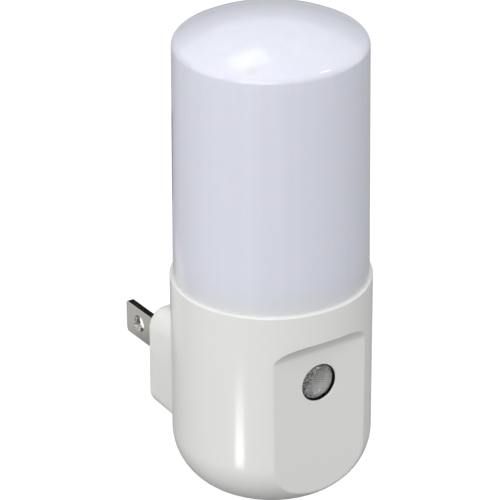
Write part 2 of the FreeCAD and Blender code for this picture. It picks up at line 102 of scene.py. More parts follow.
# diffuser
cover_wall = 1.5
cover_foot_r = 17.65
cover_top_r = 17.43
cover_lift = 0.02
cover_row = 8.0
cover_rows = 5
shoulder_round = 1.5
dome_up = 50.47
dome_ball = 34.0
foot_edge = 0.15
inner_taper_up = 20.0
skirt_r = 16.15
skirt_wall = 1.0
skirt_len = 4.5
skirt_step_up = 1.5
skirt_edge = 0.2

# plug block and its neck
block_half_w = 12.53
block_top = 9.92
block_bottom = -9.55
block_corner_top = 3.77
block_corner_bottom = 2.74
block_draft = math.tan(math.radians(2.82))
block_edge = 1.2
block_side_start = block_edge + 1.0
block_past_axis = 6.0
saddle_gap = 0.3
saddle_core = 0.5
saddle_half = 40.0
neck_half_w, neck_half_h = 9.3, 8.6
neck_start, neck_end = 4.5, 11.5

# blades
blade_half = 3.175
blade_t = 1.25
blade_corner = 0.9
blade_corner_full = 0.35
blade_edge = 0.17
blade_coin = 0.25
coin_run = 3 * blade_coin
coin_past = 0.02
coin_out = 1.0
coin_half = 5.0
blade_hole_r = 1.65
blade_land_r = 1.4
blade_land = 0.4
blade_hole_out = 11.7
wing_half = 4.7
wing_depth = 1.2
tab_half = 2.0

# sensor
sensor_sides = 96
lens_r = 3.43
lens_recess = 0.48
lens_crown = 0.36
lens_deep = 1.6
lens_flange = 1.0
ring_recess = 0.22
ring_t = 0.5
ring_out_r = 3.53
ring_gap = 0.02
cup_gap = 0.04
cup_wall = 0.06
cup_floor = 0.1
middle_dot_r = 0.05

# looks, colours as linear values
base_colour = (0.745, 0.745, 0.728)
base_rough = 0.15
cover_colour = (0.665, 0.68, 0.76)
# greyer tone painted on the diffuser just above the rim as the base's reflection; the gate mark's tone is also
# taken from it
cover_foot_colour = (0.68, 0.685, 0.70)
cover_grey_up = 6.0
cover_rough = 0.13
gate_spot = (-11.3, axis_y - 10.9, rim_z + 46.8)
gate_r = 1.2
scratch_spot = (0.0, axis_y - 16.9, rim_z + 46.0)
scratch_half = (1.3, 2.0, 0.09)
scratch_colour = (0.9, 0.9, 0.93)
face_line_pitch = 0.42
face_line_slope = 0.29
face_lines_at, face_lines_half = (0.6, 0.4), (1.6, 1.0, 1.3)
face_clear_at, face_clear_r = (1.3, -0.9), 3.3
# white spots painted on the sensor's face as glints: place across and up, radius
painted_face_glints = [((0.48, 2.3), 0.24), ((0.65, -2.1), 0.34), ((0.45, -2.3), 0.26), ((-0.3, -2.45), 0.24)]
band_black, band_red = (0.01, 0.01, 0.01), (0.6, 0.05, 0.02)
resistor_bands = [(-10.0, (0.25, 0.10, 0.02)), (-9.0, band_black), (-8.0, band_red), (-6.6, (0.5, 0.35, 0.1))]
fuse_bands = [(7.2, (0.4, 0.4, 0.38))]
diode_bands = [(9.8, (0.02, 0.02, 0.02))]
resistor_band_w, diode_band_w = 0.7, 0.6
stripe_w, stripe_soft = 0.75, 0.05


# Mesh helpers
def circle_spots(count):
    return [2 * math.pi * i / count for i in range(count)]


def span(start, end, count):
    return [start + (end - start) * i / count for i in range(count + 1)]


def crowd_start(start, end, count):
    """Values from start to end that lie close together at the start."""
    return [start + (end - start) * (i / count) ** 2 for i in range(count + 1)]


def crowd_end(start, end, count):
    return crowd_start(end, start, count)[::-1]


def soft_min(a, b, blend):
    """The smaller value, with a soft change from one to the other."""
    near = max(blend - abs(a - b), 0.0) / blend
    return min(a, b) - near * near * blend / 4


def skin(rows):
    """Vertices and quads of a tube through closed rows of points, with a cap on each end."""
    count = len(rows[0])
    verts = [spot for row in rows for spot in row]
    faces = [tuple(range(count))[::-1]]
    for i in range(len(rows) - 1):
        for j in range(count):
            k = (j + 1) % count
            faces.append((i * count + j, i * count + k, (i + 1) * count + k, (i + 1) * count + j))
    last = (len(rows) - 1) * count
    faces.append(tuple(range(last, last + count)))
    return verts, faces


def make_piece(name, verts, faces, crease=35.0):
    mesh = bpy.data.meshes.new(name)
    mesh.from_pydata([Vector(v) * MM for v in verts], [], faces)
    mesh.validate()
    obj = bpy.data.objects.new(name, mesh)
    bpy.context.collection.objects.link(obj)
    smooth(obj, crease)
    return obj


def smooth(obj, crease):
    obj.data.shade_smooth()
    obj.data.set_sharp_from_angle(angle=math.radians(crease))


def keep_flats(obj):
    """Large faces set the shading at their edges, so flats stay flat beside small rounds."""
    step = obj.modifiers.new("flats", "WEIGHTED_NORMAL")
    step.keep_sharp = True
    step.weight = 100
    apply_modifiers(obj)


def cut(obj, tool, operation="DIFFERENCE"):
    """Boolean with a tool that is deleted afterwards."""
    step = obj.modifiers.new("cut", "BOOLEAN")
    step.operation = operation
    step.solver = "EXACT"
    step.object = tool
    apply_modifiers(obj)
    bpy.data.objects.remove(tool)


def apply_modifiers(obj):
    graph = bpy.context.evaluated_depsgraph_get()
    mesh = bpy.data.meshes.new_from_object(obj.evaluated_get(graph))
    obj.modifiers.clear()
    obj.data = mesh


def bevel(obj, width, segments):
    step = obj.modifiers.new("edge", "BEVEL")
    step.width = width * MM
    step.segments = segments
    step.limit_method = "ANGLE"
    step.angle_limit = math.radians(30.0)
    apply_modifiers(obj)


def turned(name, profile, count, centre, axis="Z", crease=35.0):
    """A closed revolved skin: profile is a list of (radius, height) from one pole to the other."""
    rows = []
    for r, h in profile:
        row = []
        for turn in circle_spots(count):
            u, v = r * math.cos(turn), r * math.sin(turn)
            row.append(centre + (Vector((u, v, h)) if axis == "Z" else Vector((u, -h, v))))
        rows.append(row)
    verts, faces = skin(rows)
    return make_piece(name, verts, faces, crease)


def bend(r_mid, h_mid, radius, start, end, count):
    """Points of an arc in (radius, height), angles in degrees."""
    spots = []
    for deg in span(start, end, count):
        turn = math.radians(deg)
        spots.append((r_mid + radius * math.cos(turn), h_mid + radius * math.sin(turn)))
    return spots


# Base housing: a cup whose rows of points follow the edges of the flat front
def panel_limit(drop):
    """How far forward the skin may reach at a depth below the rim."""
    rise = panel_down - drop
    if rise <= 0:
        return panel_front
    climb = rise + scoop_lead
    if climb >= scoop_r:
        return body_r + scoop_r
    return panel_front - scoop_sunk + scoop_r - math.sqrt(scoop_r**2 - climb**2)


def skin_spot(along):
    """Radius and depth on the outer skin, by the distance run down it from below the lip."""
    if along <= straight_len:
        r, drop = body_r, rim_lip + along
    else:
        turn = (along - straight_len) / foot_round
        r = body_r - foot_round * (1 - math.cos(turn))
        drop = base_depth - foot_round * (1 - math.sin(turn))
    return r * (1 - drop * base_draft / body_r), drop


def ledge_along(turn):
    """Run down the skin to the ledge's upper edge, at an angle from the front."""
    ahead = body_r * math.cos(turn)
    inside = panel_front - scoop_sunk + scoop_r - max(ahead, panel_front)
    climb = math.sqrt(max(scoop_r**2 - inside**2, 0.0)) - scoop_lead
    return panel_down - climb - rim_lip


def foot_along(turn):
    """Run down the skin to where the panel ends on the rounded foot."""
    foot = body_r - foot_round
    reach = panel_front / math.cos(min(abs(turn), panel_half_turn))
    return straight_len + foot_round * math.acos(min((reach - foot) / foot_round, 1.0))


def column_turns():
    """Angles of the columns, close together at the two upright edges of the panel."""
    inner = []
    step = edge_step
    spot = panel_half_turn
    while spot > step:
        inner.append(spot)
        spot -= step
        step = min(step * step_growth, front_step)
    half = [0.0] + inner[::-1]
    step = edge_step
    spot = panel_half_turn + step
    while spot < math.pi - step / 2:
        half.append(spot)
        step = min(step * step_growth, side_step)
        spot += step
    mirrored = [-turn for turn in half[:0:-1]]
    return mirrored + half + [math.pi]


def outer_column(turn):
    """Points down the outside, close together at the ledge and where the panel ends."""
    side = min(abs(turn), panel_half_turn)
    ledge, foot = ledge_along(side), foot_along(side)
    runs = crowd_end(0.0, ledge, ledge_rows)
    runs += crowd_start(ledge, middle_down, panel_rows)[1:]
    runs += crowd_end(middle_down, foot, foot_rows)[1:]
    runs += crowd_start(foot, skin_len, foot_rows)[1:]
    column = []
    for along in runs:
        r, drop = skin_spot(along)
        ahead = r * math.cos(turn)
        kept = soft_min(ahead, panel_limit(drop), crease_blend)
        column.append(Vector((r * math.sin(turn), axis_y - kept, rim_top - drop)))
    return column


def inner_column(turn):
    """Points up the inside, from the floor's middle to the rim."""
    floor = wall - base_depth
    inner_round = foot_round - wall
    column = [(floor_dot_r, floor)]
    column += bend(bore_r - inner_round, floor + inner_round, inner_round, -90, 0, 12)
    column += [(bore_r, -down) for down in (panel_down, inner_flat_down + inner_flat_step, bore_edge)]
    column.append((bore_r + bore_edge, 0.0))
    spots = []
    for r, h in column:
        ahead = r * math.cos(turn)
        if h < -inner_flat_down:
            ahead = min(ahead, panel_front - wall)
        spots.append(Vector((r * math.sin(turn), axis_y - ahead, rim_top + h)))
    return spots


def lip_column(turn):
    """Points over the rounded rim."""
    spots = []
    for r, h in bend(body_r - rim_lip, -rim_lip, rim_lip, 90, 6, 7):
        spots.append(Vector((r * math.sin(turn), axis_y - r * math.cos(turn), rim_top + h)))
    return spots


def hole_cutter():
    """A plug that leaves a small rounded lip at the panel's face."""
    profile = [(hole_r, -wall - cut_over)]
    for deg in span(0, 80, 6):
        turn = math.radians(deg)
        profile.append((hole_r + hole_lip * (1 - math.cos(turn)), hole_lip * (math.sin(turn) - 1)))
    profile.append((hole_r + 2 * hole_lip, cut_over))
    return turned("hole_cutter", profile, 128, Vector((0, panel_face_y, sensor_z)), axis="Y")


def box_tool(low, high):
    (x0, y0, z0), (x1, y1, z1) = low, high
    near = [(x0, y0, z0), (x1, y0, z0), (x1, y0, z1), (x0, y0, z1)]
    far = [(x, y1, z) for x, y, z in near]
    verts, faces = skin([near, far])
    return make_piece("box_tool", verts, faces)


def base_shell():
    """Outer cup with its panel, ledge and sensor hole; its wall is closed behind the plug block."""
    columns = []
    for turn in column_turns():
        columns.append(inner_column(turn) + lip_column(turn) + outer_column(turn))
    rows = [list(row) for row in zip(*columns)]
    verts, faces = skin(rows)
    obj = make_piece("base_shell", verts, faces)
    cut(obj, hole_cutter())
    smooth(obj, 28)
    return obj


# Diffuser: frosted tube with a small round at the shoulder and a shallow dome
def diffuser_cover():
    """Tube with its dome and skirt, turned from one profile: down the inside, then up the outside."""
    mid = dome_up - dome_ball
    # the shoulder's arc touches the side and the dome
    reach = dome_ball - shoulder_round
    r_mid = cover_top_r - shoulder_round
    h_mid = mid + math.sqrt(reach**2 - r_mid**2)
    lean = (cover_foot_r - cover_top_r) / h_mid
    inner_ball = dome_ball - cover_wall
    inner_r = cover_top_r - cover_wall
    inner_edge = math.degrees(math.asin(inner_r / inner_ball))
    skirt_inner_r = skirt_r - skirt_wall
    profile = bend(0, mid, inner_ball, 89.9, 90 - inner_edge, 20)
    profile += [(inner_r, inner_taper_up), (skirt_inner_r, skirt_step_up), (skirt_inner_r, -skirt_len)]
    profile += [(skirt_r, skirt_edge - skirt_len), (skirt_r, cover_lift)]
    profile += bend(cover_foot_r - foot_edge, foot_edge + cover_lift, foot_edge, -90, 0, 5)
    for i in range(1, cover_rows + 1):
        profile.append((cover_foot_r - i * cover_row * lean, i * cover_row))
    top = math.degrees(math.atan2(h_mid - mid, r_mid))
    profile += bend(r_mid, h_mid, shoulder_round, 0, top, 8)
    profile += bend(0, mid, dome_ball, top, 89.95, 40)[1:]
    return turned("diffuser_cover", profile, 288, Vector((0, axis_y, rim_z)))


# Plug block: rounded block that hugs the base, with its neck
def rounded_row(half_w, bottom, top, r_bottom, r_top, y):
    """Outline in the upright plane at depth y, with its own corner rounds above and below."""
    corners = [
        (half_w - r_bottom, bottom + r_bottom, r_bottom, -90),
        (half_w - r_top, top - r_top, r_top, 0),
        (r_top - half_w, top - r_top, r_top, 90),
        (r_bottom - half_w, bottom + r_bottom, r_bottom, 180),
    ]
    row = []
    for x, z, r, first in corners:
        for deg in span(first, first + 90, 14):
            turn = math.radians(deg)
            row.append((x + r * math.cos(turn), y, z + r * math.sin(turn)))
    return row


def plug_body():
    """Drafted block with rounded edges, cut to the base's round wall, and the neck that carries the blades."""
    rows = []
    for deg in span(90, 0, 8):
        turn = math.radians(deg)
        y = block_edge * (math.sin(turn) - 1)
        rows.append((y, block_edge * (1 - math.cos(turn))))
    rows += [(y, 0.0) for y in span(-block_side_start, axis_y + block_past_axis, 6)]
    outlines = []
    for y, inset in rows:
        less = inset + y * block_draft
        outlines.append(rounded_row(
            block_half_w - inset,
            block_bottom + less,
            block_top - less,
            block_corner_bottom - inset,
            block_corner_top - inset,
            y,
        ))
    verts, faces = skin(outlines)
    obj = make_piece("plug_body", verts, faces)
    saddle_r = body_r + saddle_gap
    saddle = [(saddle_core, -saddle_half), (saddle_r, -saddle_half), (saddle_r, saddle_half)]
    saddle.append((saddle_core, saddle_half))
    cut(obj, turned("saddle", saddle, 360, Vector((0, axis_y, 0))))
    low = (-neck_half_w, -neck_end, -neck_half_h)
    cut(obj, box_tool(low, (neck_half_w, -neck_start, neck_half_h)), "UNION")
    smooth(obj, 28)
    return obj


def blade_piece(side):
    """One flat blade: outline in the upright plane, coined tip and pierced hole."""
    tip = blade_high.y
    c = blade_corner
    back = -neck_end
    tab = blade_low.y
    half = [
        (tip, blade_half - c),
        (tip - blade_corner_full * c, blade_half - blade_corner_full * c),
        (tip - c, blade_half),
        (back + wing_depth, blade_half),
        (back + wing_depth, wing_half),
        (back, wing_half),
        (back, tab_half),
        (tab, tab_half),
    ]
    outline = half + [(y, -z) for y, z in reversed(half)]
    name = "blade_cover_right" if side > 0 else "blade_cover_left"
    middle = side * (blade_low.x + blade_high.x) / 2
    rows = []
    for x in (middle - blade_t / 2, middle + blade_t / 2):
        rows.append([(x, y, z) for y, z in outline])
    verts, faces = skin(rows)
    obj = make_piece(name, verts, faces)
    coin_tip(obj, middle, tip)
    half_t = blade_t / 2
    half_land = blade_land / 2
    hole = [(blade_hole_r, -blade_t), (blade_hole_r, -half_t), (blade_land_r, -half_land)]
    hole += [(r, -h) for r, h in reversed(hole)]
    drill = turned("drill", hole, 64, Vector((0, 0, 0)))
    place = Matrix.Translation(Vector((middle, blade_hole_out, 0)) * MM)
    drill.matrix_world = place @ Matrix.Rotation(math.pi / 2, 4, "Y")
    bpy.context.view_layer.update()
    cut(obj, drill)
    bevel(obj, blade_edge, 3)
    smooth(obj, 40)
    keep_flats(obj)
    return obj


def coin_tip(obj, middle, tip):
    """Cuts the two faces back towards the tip with long wedges."""
    for way in (-1, 1):
        face = middle + way * blade_t / 2
        deep = face - way * blade_coin
        far = face + way * coin_out
        wedge = [
            (far, tip - coin_run, -coin_half),
            (far, tip + coin_past, -coin_half),
            (deep, tip + coin_past, -coin_half),
            (face, tip - coin_run, -coin_half),
        ]
        if way < 0:
            wedge = wedge[::-1]
        verts, faces = skin([wedge, [(x, y, coin_half) for x, y, z in wedge]])
        cut(obj, make_piece("wedge", verts, faces))


# Sensor: clear lens in the panel's hole, the dark ring round it and the face behind it
def on_panel(name, profile, crease=35.0):
    """Turned piece on the sensor's axis, heights measured out from the panel's face."""
    return turned(name, profile, sensor_sides, Vector((0, panel_face_y, sensor_z)), axis="Y", crease=crease)


def sensor_lens():
    """Crowned lens on a stem that fills the hole behind the ring, with the window's flange at its back."""
    back = panel_face_y - window_high.y
    flange = back + lens_flange
    flange_r = window_high.x
    stem_r = ring_out_r - ring_gap
    stem_end = -ring_recess - ring_t - ring_gap
    ball = (lens_r**2 + lens_crown**2) / (2 * lens_crown)
    edge = math.degrees(math.asin(lens_r / ball))
    profile = [(middle_dot_r, back), (flange_r, back), (flange_r, flange), (stem_r, flange)]
    profile += [(stem_r, stem_end), (lens_r, stem_end)]
    profile += bend(0, lens_crown - lens_recess - ball, ball, 90 - edge, 89.9, 18)
    return on_panel("sensor_lens", profile)


def sensor_ring():
    """Dark ring in the step between the lens and the hole: the corners of its section, joined round."""
    inner = lens_r + ring_gap
    front, back = -ring_recess, -ring_recess - ring_t
    corners = [(inner, back), (ring_out_r, back), (ring_out_r, front), (inner, front)]
    verts = []
    for r, h in corners:
        for turn in circle_spots(sensor_sides):
            verts.append((r * math.cos(turn), panel_face_y - h, sensor_z + r * math.sin(turn)))
    faces = []
    for i in range(len(corners)):
        near, far = i * sensor_sides, (i + 1) % len(corners) * sensor_sides
        for j in range(sensor_sides):
            k = (j + 1) % sensor_sides
            faces.append((near + j, near + k, far + k, far + j))
    return make_piece("sensor_ring", verts, faces)


def sensor_face():
    """Shallow cup inside the lens: near-black wall round the face that is seen through the lens, which paints
    in the shade at the lens's edge.
    """
    rim = -lens_recess - cup_floor
    back = -lens_deep - cup_floor
    r = lens_r - cup_gap
    inner = r - cup_wall
    profile = [(middle_dot_r, back), (r, back), (r, rim), (inner, rim), (inner, -lens_deep)]
    profile.append((middle_dot_r, -lens_deep))
    return on_panel("sensor_face", profile, 20.0)


# Materials: each is a small procedural graph in object space
class Graph:
    """A material's nodes, with short calls for the ones used here."""

    def __init__(self, name):
        self.material = bpy.data.materials.new(name)
        self.material.use_nodes = True
        self.nodes = self.material.node_tree.nodes
        self.links = self.material.node_tree.links
        self.shader = self.nodes["Principled BSDF"]
        self.place = self.nodes.new("ShaderNodeTexCoord").outputs["Object"]

    def add(self, kind, **values):
        node = self.nodes.new(kind)
        for key, value in values.items():
            node.inputs[key.replace("_", " ").title()].default_value = value
        return node

    def link(self, source, target):
        self.links.new(source, target)

    def noise(self, scale, detail=3.0, roughness=0.5, stretch=(1, 1, 1)):
        mapping = self.add("ShaderNodeMapping", Scale=stretch)
        self.link(self.place, mapping.inputs["Vector"])
        noise = self.add("ShaderNodeTexNoise", Scale=scale, Detail=detail, Roughness=roughness)
        self.link(mapping.outputs["Vector"], noise.inputs["Vector"])
        return noise.outputs["Fac"]

    def along(self, axis):
        """Object position along one axis, in metres."""
        parts = self.add("ShaderNodeSeparateXYZ")
        self.link(self.place, parts.inputs["Vector"])
        return parts.outputs[axis]

    def range(self, value, low, high, start=0.3, end=0.7):
        node = self.add("ShaderNodeMapRange", From_Min=start, From_Max=end, To_Min=low, To_Max=high)
        self.link(value, node.inputs["Value"])
        return node.outputs["Result"]

    def math(self, operation, *values):
        node = self.nodes.new("ShaderNodeMath")
        node.operation = operation
        for socket, value in zip(node.inputs, values):
            if isinstance(value, float):
                socket.default_value = value
            else:
                self.link(value, socket)
        return node.outputs[0]

    def spot(self, centre, radius, edge=0.3):
        """1 inside a ball round a place in millimetres, 0 outside it."""
        node = self.nodes.new("ShaderNodeVectorMath")
        node.operation = "DISTANCE"
        self.link(self.place, node.inputs[0])
        node.inputs[1].default_value = Vector(centre) * MM
        far = radius * MM
        return self.range(node.outputs["Value"], 1.0, 0.0, far * (1 - edge), far)

    def block(self, centre, half):
        """1 inside a box round a place in millimetres, 0 outside it."""
        inside = None
        for axis, middle, size in zip("XYZ", centre, half):
            away = self.math("SUBTRACT", self.along(axis), middle * MM)
            near = self.range(self.math("ABSOLUTE", away), 1.0, 0.0, 0.5 * size * MM, size * MM)
            inside = self.math("MULTIPLY", inside, near) if inside else near
        return inside

    def mix(self, amount, low, high):
        """Colour between two colours or sockets."""
        node = self.nodes.new("ShaderNodeMix")
        node.data_type = "RGBA"
        self.link(amount, node.inputs["Factor"])
        for socket, value in ((node.inputs[6], low), (node.inputs[7], high)):
            if isinstance(value, tuple):
                socket.default_value = (*value, 1)
            else:
                self.link(value, socket)
        return node.outputs[2]

    def paint(self, colour):
        self.link(colour, self.shader.inputs["Base Color"])

    def bump(self, value, distance, strength=1.0):
        node = self.add("ShaderNodeBump", Strength=strength, Distance=distance * MM)
        self.link(value, node.inputs["Height"])
        self.link(node.outputs["Normal"], self.shader.inputs["Normal"])

    def rough(self, value, middle, spread):
        self.link(self.range(value, middle - spread, middle + spread), self.shader.inputs["Roughness"])

    def set(self, **values):
        for key, value in values.items():
            socket = key.replace("_", " ").title().replace("Ior", "IOR")
            self.shader.inputs[socket].default_value = value


def shade(colour, factor):
    return tuple(min(c * factor, 1.0) for c in colour)


def moulded(name, colour, rough, spread=0.03, grain=900.0, depth=0.004, **extra):
    """Moulded plastic: faint flow marks in the colour and a fine skin."""
    graph = Graph(name)
    flow = graph.range(graph.noise(60.0, 2.0, stretch=(1, 1, 0.4)), 0.0, 1.0)
    graph.paint(graph.mix(flow, shade(colour, 1 - spread), shade(colour, 1 + spread)))
    graph.rough(graph.noise(grain * 4, 4.0, 0.6), rough, 0.2 * rough)
    graph.bump(graph.noise(grain, 3.0), depth)
    graph.set(**extra)
    return graph.material


def metal(name, colour, rough, stretch, scale=2600.0):
    """Rolled or drawn metal with fine lines along one way."""
    graph = Graph(name)
    lines = graph.noise(scale, 4.0, 0.65, stretch=stretch)
    graph.paint(graph.mix(graph.range(lines, 0.0, 1.0), shade(colour, 0.93), shade(colour, 1.04)))
    graph.rough(lines, rough, 0.06)
    graph.bump(lines, 0.003, 0.35)
    graph.set(metallic=1.0)
    return graph.material


def frosted_cover():
    """Milky plastic: lavender body, greyer at its foot where the base's reflection is painted in, with faint
    draw lines, a gate mark and a scratch.
    """
    graph = Graph("diffuser_frost")
    streaks = graph.range(graph.noise(420.0, 2.0, 0.5, stretch=(1, 1, 0.02)), 0.0, 1.0)
    body = graph.mix(streaks, cover_colour, shade(cover_colour, 1.03))
    # Painted reflection: the body turns greyer just above the rim, standing in for the base's reflection.
    low = graph.range(graph.along("Z"), 1.0, 0.0, (rim_z - 0.5) * MM, (rim_z + cover_grey_up) * MM)
    body = graph.mix(low, body, cover_foot_colour)
    body = graph.mix(graph.spot(gate_spot, gate_r, 0.5), body, shade(cover_foot_colour, 0.97))
    graph.paint(graph.mix(graph.block(scratch_spot, scratch_half), body, scratch_colour))
    graph.rough(graph.noise(3600.0, 4.0, 0.6), cover_rough, 0.05)
    skin_grain = graph.math("MULTIPLY", graph.noise(900.0, 3.0), 0.4)
    graph.bump(graph.math("SUBTRACT", skin_grain, graph.spot(gate_spot, gate_r * 0.7, 0.4)), 0.01)
    graph.set(subsurface_weight=0.2, subsurface_scale=1.5 * MM)
    return graph.material


def face_spot(across, up):
    """Place on the seen face, from the sensor's middle."""
    return across, panel_face_y + lens_deep, sensor_z + up


def sensor_back():
    """Grey potted face with fine lines across its middle and a speckled upper left; it is painted lighter
    towards the lower right as the lens's reflection, and carries painted white glints.
    """
    graph = Graph("sensor_back")
    across, up = graph.along("X"), graph.along("Z")
    slope = graph.math("ADD", up, graph.math("MULTIPLY", across, face_line_slope))
    lines = graph.math("SINE", graph.math("MULTIPLY", slope, 2 * math.pi / (face_line_pitch * MM)))
    lines = graph.range(lines, 0.0, 0.8, -0.1, 0.7)
    lines = graph.math("MULTIPLY", lines, graph.block(face_spot(*face_lines_at), face_lines_half))
    # Painted reflection: the face's colour turns lighter towards the lower right, standing in for the lens's
    # reflection.
    slant = graph.math("SUBTRACT", across, graph.math("SUBTRACT", up, sensor_z * MM))
    side = graph.range(slant, 0.0, 1.0, -2.0 * MM, 4.0 * MM)
    body = graph.mix(side, (0.34, 0.34, 0.33), (0.78, 0.78, 0.77))
    body = graph.mix(lines, body, (0.2, 0.18, 0.17))
    clear = graph.spot(face_spot(*face_clear_at), face_clear_r, 0.45)
    outside = graph.range(clear, 1.0, 0.0, 0.0, 1.0)
    dark = graph.range(graph.noise(2300.0, 3.0, 0.7), 0.0, 1.0, 0.44, 0.56)
    body = graph.mix(graph.math("MULTIPLY", dark, outside), body, (0.03, 0.03, 0.03))
    pale = graph.range(graph.noise(2900.0, 2.0, 0.6, stretch=(1, 1, 1.4)), 0.0, 0.9, 0.54, 0.62)
    body = graph.mix(graph.math("MULTIPLY", pale, outside), body, (0.8, 0.8, 0.79))
    # Painted glints: small white spots stand in for highlights on the face.
    glints = None
    for place, radius in painted_face_glints:
        glint = graph.spot(face_spot(*place), radius)
        glints = graph.math("MAXIMUM", glints, glint) if glints else glint
    graph.paint(graph.mix(glints, body, (1.0, 1.0, 1.0)))
    graph.rough(dark, 0.4, 0.1)
    graph.bump(dark, 0.05)
    return graph.material


def banded(name, colour, rough, bands, width):
    """Coated part body with thin bands of colour across its length."""
    graph = Graph(name)
    flow = graph.range(graph.noise(500.0, 2.0), 0.0, 1.0)
    body = graph.mix(flow, shade(colour, 0.92), shade(colour, 1.06))
    across = graph.along("X")
    for place, band_colour in bands:
        near = graph.math("ABSOLUTE", graph.math("SUBTRACT", across, place * MM))
        body = graph.mix(graph.range(near, 1.0, 0.0, 0.4 * width * MM, 0.5 * width * MM), body, band_colour)
    graph.paint(body)
    graph.rough(graph.noise(2000.0), rough, 0.06)
    graph.bump(graph.noise(1800.0), 0.01)
    return graph.material


def circuit_board():
    """Green lacquer over copper tracks that show as lighter lines."""
    graph = Graph("board")
    cells = graph.add("ShaderNodeTexVoronoi", Scale=260.0)
    cells.distance = "CHEBYCHEV"
    cells.feature = "F2"
    graph.link(graph.place, cells.inputs["Vector"])
    tracks = graph.range(cells.outputs["Distance"], 0.0, 1.0, 0.52, 0.56)
    weave = graph.range(graph.noise(2400.0, 2.0, stretch=(1, 1, 0.3)), 0.0, 1.0)
    body = graph.mix(weave, (0.012, 0.085, 0.028), (0.016, 0.11, 0.035))
    graph.paint(graph.mix(tracks, body, (0.03, 0.18, 0.06)))
    graph.rough(weave, 0.32, 0.05)
    graph.bump(tracks, 0.03)
    return graph.material


def can_sleeve():
    """Shrunk sleeve with a pale stripe down one side."""
    graph = Graph("can_sleeve")
    stripe_from = node_box("electrolytic_capacitor")[1].x - stripe_w
    stripe = graph.range(graph.along("X"), 0.0, 1.0, stripe_from * MM, (stripe_from + stripe_soft) * MM)
    flow = graph.range(graph.noise(700.0, 2.0), 0.0, 1.0)
    body = graph.mix(flow, (0.006, 0.009, 0.035), (0.009, 0.013, 0.05))
    graph.paint(graph.mix(stripe, body, (0.45, 0.47, 0.5)))
    graph.rough(flow, 0.25, 0.05)
    graph.bump(graph.noise(1500.0, 3.0), 0.008)
    return graph.material


def make_materials():
    """Every material, by slot name; the sensor's back and wall have no slot of their own."""
    return {
        "base_white": moulded("base_white", base_colour, base_rough, 0.008, grain=500.0, depth=0.003),
        "diffuser_frost": frosted_cover(),
        "blade_metal": metal("blade_metal", (0.5, 0.49, 0.455), 0.24, (1, 0.08, 1)),
        "clear_resin": moulded(
            "clear_resin", (0.97, 0.98, 0.98), 0.04, 0.005, depth=0.002, transmission_weight=1.0, ior=1.5
        ),
        "black_plastic": moulded("black_plastic", (0.015, 0.015, 0.016), 0.42),
        "cell_ceramic": moulded("cell_ceramic", (0.34, 0.27, 0.22), 0.5, 0.08, grain=2600.0),
        "sensor_back": sensor_back(),
        # near-black, dull wall for the ring and the cup: a black sleeve with the shade of the gap round the
        # lens painted in
        "sensor_wall_painted_shade": moulded("sensor_wall_painted_shade", (0.004, 0.004, 0.004), 0.7, specular_ior_level=0.15),
        "board": circuit_board(),
        "led_board_white": moulded("led_board_white", (0.78, 0.78, 0.75), 0.45, 0.03, grain=1500.0),
        "led_package": moulded("led_package", (0.85, 0.62, 0.10), 0.35, 0.08, grain=2500.0),
        "screw_steel": metal("screw_steel", (0.42, 0.42, 0.42), 0.28, (1, 1, 0.2)),
        "film_box": moulded("film_box", (0.52, 0.34, 0.015), 0.35, 0.05, grain=1200.0),
        "can_sleeve": can_sleeve(),
        "resistor_body": banded("resistor_body", (0.26, 0.42, 0.52), 0.35, resistor_bands, resistor_band_w),
        "fuse_body": banded("fuse_body", (0.07, 0.15, 0.08), 0.6, fuse_bands, resistor_band_w),
        "diode_glass": banded("diode_glass", (0.45, 0.10, 0.025), 0.15, diode_bands, diode_band_w),
        "pin_metal": metal("pin_metal", (0.60, 0.38, 0.11), 0.25, (1, 1, 0.1)),
        "wire_cover": moulded("wire_cover", (0.69, 0.69, 0.69), 0.4, 0.03, grain=1500.0),
    }


# Camera, floor and lamps
camera_turn = math.radians(-33.8)
camera_rise = math.radians(27.4)
camera_away = 730.0
camera_roll = 0.0024
aim_right, aim_up = 3.80, 4.09
focal = 293.3
sensor_size = 36.0
far_clip = 20.0

floor_half = 3000.0
floor_tone = 0.14
floor_lift = 0.97
floor_gloss_lift = 0.25

room_light, room_dark = 0.99, 0.16
dark_behind = 0.45
dark_top, dark_soft = 0.46, 0.06

# lamps: name, turn and rise in degrees, width, height, power in watts
lamps = [
    ("key_left", -50, 14, 700, 700, 4.1),
    ("fill_left", -112, 4, 700, 700, 2.4),
    ("fill_right", 70, 0, 700, 700, 1.4),
    ("top_soft", 10, 80, 800, 800, 0.05),
    ("top_glint", 172, 68, 260, 200, 0.4),
]
lamp_away = 900.0

strip_up = 0.2
strip_wall_turn, strip_way_turn = math.radians(-52.4), math.radians(-71.0)
strip_near, strip_far = 18.0, 56.0
strip_near_half, strip_far_half = 2.6, 5.0
strip_strength, strip_far_strength = 9.5, 0.35

blade_card_out, blade_card_away, blade_card_half = 11.0, 34.0, 18.0
blade_card_strength = 0.8
blade_flag_out, blade_flag_away, blade_flag_half = 9.0, 36.0, 14.0


def toward(turn, rise):
    """Unit way out from the axis; turn 0 is the front, all in radians."""
    return Vector((
        math.sin(turn) * math.cos(rise),
        -math.cos(turn) * math.cos(rise),
        math.sin(rise),
    ))


def make_camera():
    """Camera at the photo's angle, aimed beside the axis at the rim."""
    across = Vector((math.cos(camera_turn), math.sin(camera_turn), 0))
    back = toward(camera_turn, camera_rise)
    up = back.cross(across)
    target = Vector((0, axis_y, rim_z))
    place = target + back * camera_away
    aim = target - across * aim_right + up * aim_up
    ahead = (aim - place).normalized()
    side = ahead.cross(up).normalized()
    top = side.cross(ahead)
    roll = Matrix.Rotation(camera_roll, 3, ahead)
    side, top = roll @ side, roll @ top
    turn = Matrix((side, top, -ahead)).transposed().to_4x4()
    data = bpy.data.cameras.new("camera")
    data.lens = focal
    data.sensor_width = sensor_size
    data.clip_end = far_clip
    obj = bpy.data.objects.new("camera", data)
    obj.matrix_world = Matrix.Translation(place * MM) @ turn
    bpy.context.collection.objects.link(obj)
    bpy.context.scene.camera = obj


